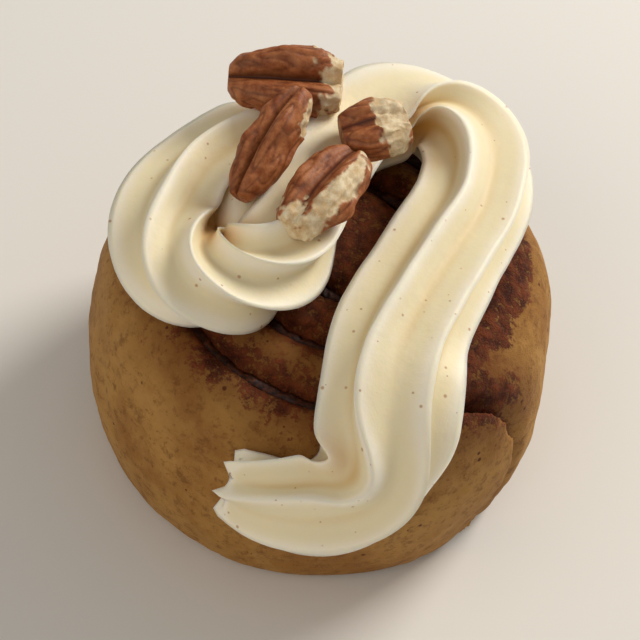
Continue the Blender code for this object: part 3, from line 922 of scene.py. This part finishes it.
def make_frosting_material():
    """Whipped cream cheese frosting."""
    material, tree, shader, place = start_material("whipped_cream_cheese_frosting")
    hollow = add_node(tree, "ShaderNodeAttribute", {"attribute_name": "hollow"}, {}).outputs["Fac"]
    painted_fold_glow = add_node(tree, "ShaderNodeAttribute", {"attribute_name": "painted_fold_glow"}, {}).outputs["Fac"]
    # Painted shade: the hollows between the crests are painted a darker gold
    painted_valley_shade = add_node(tree, "ShaderNodeMapRange", SOFT_EDGE, {
        "Value": hollow, "From Min": 0.5, "From Max": 0.92}).outputs[0]
    body = add_node(tree, "ShaderNodeMix", COLOUR_MIX, {
        FACTOR: painted_valley_shade, FIRST: colour("#f0e3be"), SECOND: colour("#d8b264")}).outputs[RESULT]
    # Painted highlight: the crests are painted a paler ivory
    crest = add_node(tree, "ShaderNodeMapRange", SOFT_EDGE, {
        "Value": hollow, "From Min": 0.45, "From Max": 0.05}).outputs[0]
    body = add_node(tree, "ShaderNodeMix", COLOUR_MIX, {
        FACTOR: crest, FIRST: body, SECOND: colour("#f9f0dc")}).outputs[RESULT]
    # Painted glow: golden colour in the folds inside the bends
    body = add_node(tree, "ShaderNodeMix", COLOUR_MIX, {
        FACTOR: painted_fold_glow, FIRST: body, SECOND: colour("#cf963c")}).outputs[RESULT]
    specks = add_node(tree, "ShaderNodeTexVoronoi", {}, {
        "Vector": place, "Scale": per_metre(2.1), "Randomness": 1.0})
    near = add_node(tree, "ShaderNodeMath", {"operation": "DIVIDE"}, {
        0: specks.outputs["Distance"], 1: specks.outputs["Color"]}).outputs[0]
    near = add_node(tree, "ShaderNodeMapRange", SOFT_EDGE, {
        "Value": near, "From Min": 0.2, "From Max": 0.08, "To Max": 0.7}).outputs[0]
    tint = add_node(tree, "ShaderNodeMix", COLOUR_MIX, {
        FACTOR: near, FIRST: body, SECOND: colour("#b57f4a")}).outputs[RESULT]
    tree.links.new(tint, shader.inputs["Base Color"])
    smears = add_node(tree, "ShaderNodeTexNoise", {}, {
        "Vector": place, "Scale": per_metre(1.5), "Detail": 5.0, "Roughness": 0.6}).outputs[0]
    bump = add_node(tree, "ShaderNodeBump", {}, {
        "Strength": 0.4, "Distance": 0.2 * MM, "Height": smears}).outputs[0]
    tree.links.new(bump, shader.inputs["Normal"])
    shader.inputs["Roughness"].default_value = 0.5
    shader.inputs["IOR"].default_value = 1.45
    shader.inputs["Subsurface Weight"].default_value = 0.5
    shader.inputs["Subsurface Radius"].default_value = (1.0, 0.82, 0.4)
    shader.inputs["Subsurface Scale"].default_value = 0.8 * MM
    return material


frosting.data.materials.append(make_frosting_material())

# %% [markdown]
# ## Pecan: material
#
# The skin of a pecan is thin, brown and slightly waxy, with streaks along the nut, and shade is painted
# darker into its wrinkles and the groove between its lobes.
# The flesh is pale cream, matte and a little uneven. The mask of bare flesh chooses between them.

# %% Material of the pecans


def make_pecan_material():
    """Pecan kernel: wrinkled brown skin over cream flesh."""
    material, tree, shader, place = start_material("pecan_kernel")
    bare = add_node(tree, "ShaderNodeAttribute", {"attribute_name": "bare"}, {}).outputs["Fac"]
    streaks = add_node(tree, "ShaderNodeTexNoise", {}, {
        "Vector": place, "Scale": per_metre(1.6), "Detail": 6.0, "Roughness": 0.7}).outputs[0]
    spread = add_node(tree, "ShaderNodeMapRange", SOFT_EDGE, {
        "Value": streaks, "From Min": 0.3, "From Max": 0.72}).outputs[0]
    skin = add_node(tree, "ShaderNodeMix", COLOUR_MIX, {
        FACTOR: spread, FIRST: colour("#8a4620"), SECOND: colour("#b87648")}).outputs[RESULT]
    # Painted shade: the skin is painted dark brown in the wrinkles and the groove between the lobes
    painted_wrinkle_shade = add_node(tree, "ShaderNodeAttribute", {"attribute_name": "painted_wrinkle_shade"}, {}).outputs["Fac"]
    skin = add_node(tree, "ShaderNodeMix", COLOUR_MIX, {
        FACTOR: painted_wrinkle_shade, FIRST: skin, SECOND: colour("#4a1c08")}).outputs[RESULT]
    flesh = add_node(tree, "ShaderNodeMix", COLOUR_MIX, {
        FACTOR: spread, FIRST: colour("#c9a878"), SECOND: colour("#eadcbc")}).outputs[RESULT]
    tint = add_node(tree, "ShaderNodeMix", COLOUR_MIX, {
        FACTOR: bare, FIRST: skin, SECOND: flesh}).outputs[RESULT]
    tree.links.new(tint, shader.inputs["Base Color"])
    rough = add_node(tree, "ShaderNodeMapRange", {}, {
        "Value": bare, "To Min": 0.5, "To Max": 0.65}).outputs[0]
    tree.links.new(rough, shader.inputs["Roughness"])
    bump = add_node(tree, "ShaderNodeBump", {}, {
        "Strength": 0.6, "Distance": 0.25 * MM, "Height": streaks}).outputs[0]
    tree.links.new(bump, shader.inputs["Normal"])
    shader.inputs["IOR"].default_value = 1.47
    shader.inputs["Specular IOR Level"].default_value = 0.35
    shader.inputs["Subsurface Weight"].default_value = 0.1
    shader.inputs["Subsurface Radius"].default_value = (1.0, 0.5, 0.25)
    shader.inputs["Subsurface Scale"].default_value = 1.5 * MM
    return material


pecan_material = make_pecan_material()
for pecan in pecans.values():
    pecan.data.materials.append(pecan_material)

# %% [markdown]
# ## Who stands for which solid
#
# Every piece rides on the part's one body and stands for the solid whose place it takes.

# %% Tie the pieces to the part
for piece, node, slot in (
    (dough, "dough", "dough"),
    (filling, "cinnamon_filling", "cinnamon_filling"),
    (frosting, "frosting", "frosting"),
    *((pecan, name, "pecan") for name, pecan in pecans.items()),
):
    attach(piece, "root")
    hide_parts(node)
print("pieces tied:", 3 + len(pecans))

# %% [markdown]
# ## The floor and the light
#
# The roll stands on a plain pale floor. A soft lamp high at the back on the right gives the crests their
# bright sides, as a window would. A wider and weaker one in front on the left fills the shade, and a pale
# world stands in for the walls of a room.

# %% Floor
FLOOR_SIZE = 6000.0


def make_floor():
    """A wide pale floor at the height of the roll's base."""
    half = FLOOR_SIZE / 2
    corners = np.array([(-half, -half, 0), (half, -half, 0), (half, half, 0), (-half, half, 0)])
    floor = make_piece("floor", corners, [(0, 1, 2, 3)])
    material, _, shader, _ = start_material("matte_paper")
    shader.inputs["Base Color"].default_value = colour("#e9e6e0")
    shader.inputs["Roughness"].default_value = 0.8
    floor.data.materials.append(material)


make_floor()

# %% Lamps and world
LAMPS = (   # name, place and size in mm, strength in watts, colour
    ("window", (400, 420, 460), 320, 4.4, "#fffaf2"),
    ("fill", (-300, -460, 420), 600, 1.2, "#fff4e6"),
)
WORLD_STRENGTH = 0.33


def make_light():
    """Two soft lamps and a pale world."""
    for name, place, size, watts, tint in LAMPS:
        lamp = bpy.data.lights.new(name, "AREA")
        lamp.shape = "DISK"
        lamp.size = size * MM
        lamp.energy = watts
        lamp.color = colour(tint)[:3]
        holder = bpy.data.objects.new(name, lamp)
        holder.location = Vector(place) * MM
        holder.rotation_mode = "QUATERNION"
        holder.rotation_quaternion = (-holder.location).to_track_quat("-Z", "Y")
        bpy.context.scene.collection.objects.link(holder)
    world = bpy.data.worlds.new("room")
    world.use_nodes = True
    background = world.node_tree.nodes["Background"]
    background.inputs["Color"].default_value = colour("#f3f1ee")
    background.inputs["Strength"].default_value = WORLD_STRENGTH
    bpy.context.scene.world = world
    bpy.context.scene.view_settings.view_transform = "Standard"


make_light()

# %% [markdown]
# ## Camera
#
# The camera stands where the photograph was taken from, worked out from the round rim that surrounds the
# roll there: 49 degrees above the horizon and turned 13 degrees. It is turned by the smallest angle that
# puts the roll in the middle, and a longer lens fills the picture with it.

# %% Camera
CAMERA_PLACE = Vector((0.0, -255.9, 334.9))
CAMERA_YAW = math.radians(13.01)
CAMERA_DOWN = math.radians(49.36)
LOOK_AT = Vector((-0.5, -4.0, 26.0))
LENS = 150.0
NEAREST_SEEN = 10.0


def make_camera():
    """The photograph's viewpoint, aimed at the roll."""
    right = Vector((math.cos(CAMERA_YAW), math.sin(CAMERA_YAW), 0))
    level = Vector((-math.sin(CAMERA_YAW), math.cos(CAMERA_YAW), 0))
    ahead = level * math.cos(CAMERA_DOWN) - Vector((0, 0, math.sin(CAMERA_DOWN)))
    up = right.cross(ahead)
    to_roll = (LOOK_AT - CAMERA_PLACE).normalized()
    turn = ahead.rotation_difference(to_roll)
    axes = [turn @ axis for axis in (right, up, -ahead)]
    camera = bpy.data.objects.new("camera", bpy.data.cameras.new("camera"))
    camera.data.lens = LENS
    camera.data.clip_start = NEAREST_SEEN * MM
    placed = camera.matrix_world
    for column, axis in enumerate(axes):
        for row in range(3):
            placed[row][column] = axis[row]
    placed.translation = CAMERA_PLACE * MM
    camera.matrix_world = placed
    bpy.context.scene.collection.objects.link(camera)
    bpy.context.scene.camera = camera


make_camera()
